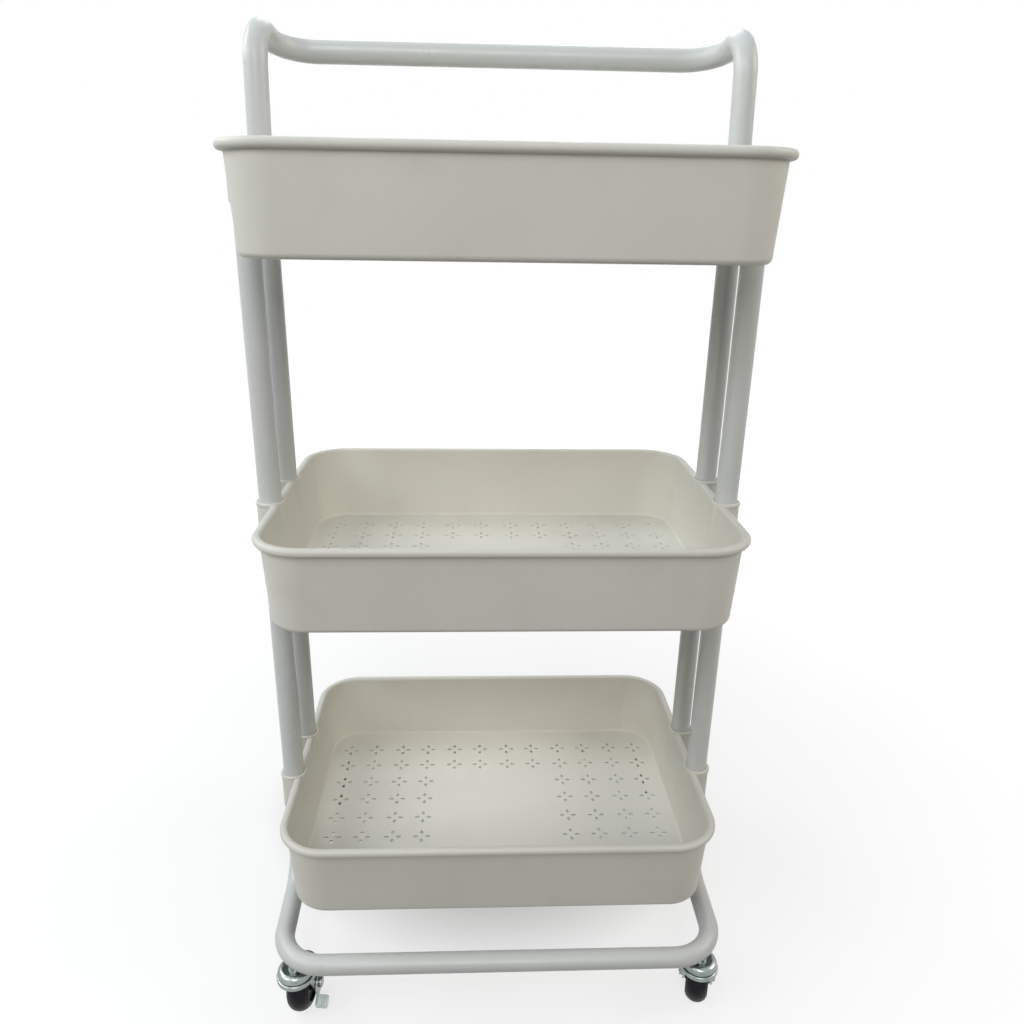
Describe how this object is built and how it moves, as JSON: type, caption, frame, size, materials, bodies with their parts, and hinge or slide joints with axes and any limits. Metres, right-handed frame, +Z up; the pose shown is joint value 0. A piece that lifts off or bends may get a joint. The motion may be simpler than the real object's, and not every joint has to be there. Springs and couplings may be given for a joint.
{
  "type": "rolling utility cart",
  "caption": "Tall narrow storage cart with moulded trays held one above another on round tube posts, a looped push handle at the top and swivel casters under a looped tube base.",
  "frame": {"origin": "on the floor under the middle of the cart", "axes": "+Z up, +X to the right along the trays' long side, -Y towards the front; the handle's bar is over the +Y side"},
  "size_m": [0.4496, 0.367, 0.8968],
  "materials": {
    "tray_plastic": "satin moulded plastic, warm white",
    "tube_paint": "powder coat, cool white",
    "cap_plastic": "satin moulded plastic, white",
    "zinc": "bright zinc plating, slightly blue",
    "steel": "plain steel",
    "wheel_plastic": "black plastic, slightly shiny"
  },
  "bodies": {
    "frame": {"top_tray": "tray_plastic", "middle_tray": "tray_plastic", "bottom_tray": "tray_plastic", "handle": "tube_paint", "front_base_frame": "tube_paint", "rear_base_frame": "tube_paint", "upper_post_front_left": "tube_paint", "lower_post_front_left": "tube_paint", "upper_post_front_right": "tube_paint", "lower_post_front_right": "tube_paint", "upper_post_rear_left": "tube_paint", "lower_post_rear_left": "tube_paint", "upper_post_rear_right": "tube_paint", "lower_post_rear_right": "tube_paint", "post_caps": "cap_plastic", "caster_bushings": "steel", "caster_stem_front_left": "steel", "caster_cup_front_left": "zinc", "bearing_balls_front_left": "steel", "caster_stem_front_right": "steel", "caster_cup_front_right": "zinc", "bearing_balls_front_right": "steel", "caster_stem_rear_right": "steel", "caster_cup_rear_right": "zinc", "bearing_balls_rear_right": "steel", "caster_stem_rear_left": "steel", "caster_cup_rear_left": "zinc", "bearing_balls_rear_left": "steel"},
    "swivel_front_left": {"fork_front_left": "zinc", "axle_front_left": "zinc", "axle_nut_front_left": "zinc", "axle_sleeve_front_left": "steel"},
    "roller_front_left": {"wheel_front_left": "wheel_plastic"},
    "brake_front_left": {"brake_lever_front_left": "zinc"},
    "swivel_front_right": {"fork_front_right": "zinc", "axle_front_right": "zinc", "axle_nut_front_right": "zinc", "axle_sleeve_front_right": "steel"},
    "roller_front_right": {"wheel_front_right": "wheel_plastic"},
    "swivel_rear_right": {"fork_rear_right": "zinc", "axle_rear_right": "zinc", "axle_nut_rear_right": "zinc", "axle_sleeve_rear_right": "steel"},
    "roller_rear_right": {"wheel_rear_right": "wheel_plastic"},
    "brake_rear_right": {"brake_lever_rear_right": "zinc"},
    "swivel_rear_left": {"fork_rear_left": "zinc", "axle_rear_left": "zinc", "axle_nut_rear_left": "zinc", "axle_sleeve_rear_left": "steel"},
    "roller_rear_left": {"wheel_rear_left": "wheel_plastic"}
  },
  "joints": [
    {"name": "front_left_swivel", "type": "hinge", "parent": "frame", "child": "swivel_front_left", "pos_m": [-0.19551, -0.16321, 0.057], "axis": [0, 0, 1], "continuous": true},
    {"name": "front_left_roll", "type": "hinge", "parent": "swivel_front_left", "child": "roller_front_left", "pos_m": [-0.19357, -0.14481, 0.027], "axis": [0.9945, -0.1045, 0], "continuous": true},
    {"name": "front_left_brake", "type": "hinge", "parent": "swivel_front_left", "child": "brake_front_left", "pos_m": [-0.19357, -0.14481, 0.027], "axis": [-0.9945, 0.1045, 0], "range_deg": [0, 30]},
    {"name": "front_right_swivel", "type": "hinge", "parent": "frame", "child": "swivel_front_right", "pos_m": [0.19551, -0.16321, 0.057], "axis": [0, 0, 1], "continuous": true},
    {"name": "front_right_roll", "type": "hinge", "parent": "swivel_front_right", "child": "roller_front_right", "pos_m": [0.20122, -0.14562, 0.027], "axis": [0.9511, -0.309, 0], "continuous": true},
    {"name": "rear_right_swivel", "type": "hinge", "parent": "frame", "child": "swivel_rear_right", "pos_m": [0.19551, 0.16321, 0.057], "axis": [0, 0, 1], "continuous": true},
    {"name": "rear_right_roll", "type": "hinge", "parent": "swivel_rear_right", "child": "roller_rear_right", "pos_m": [0.19357, 0.14481, 0.027], "axis": [-0.9945, 0.1045, 0], "continuous": true},
    {"name": "rear_right_brake", "type": "hinge", "parent": "swivel_rear_right", "child": "brake_rear_right", "pos_m": [0.19357, 0.14481, 0.027], "axis": [0.9945, -0.1045, 0], "range_deg": [0, 30]},
    {"name": "rear_left_swivel", "type": "hinge", "parent": "frame", "child": "swivel_rear_left", "pos_m": [-0.19551, 0.16321, 0.057], "axis": [0, 0, 1], "continuous": true},
    {"name": "rear_left_roll", "type": "hinge", "parent": "swivel_rear_left", "child": "roller_rear_left", "pos_m": [-0.20122, 0.14562, 0.027], "axis": [-0.9511, 0.309, 0], "continuous": true}
  ]
}
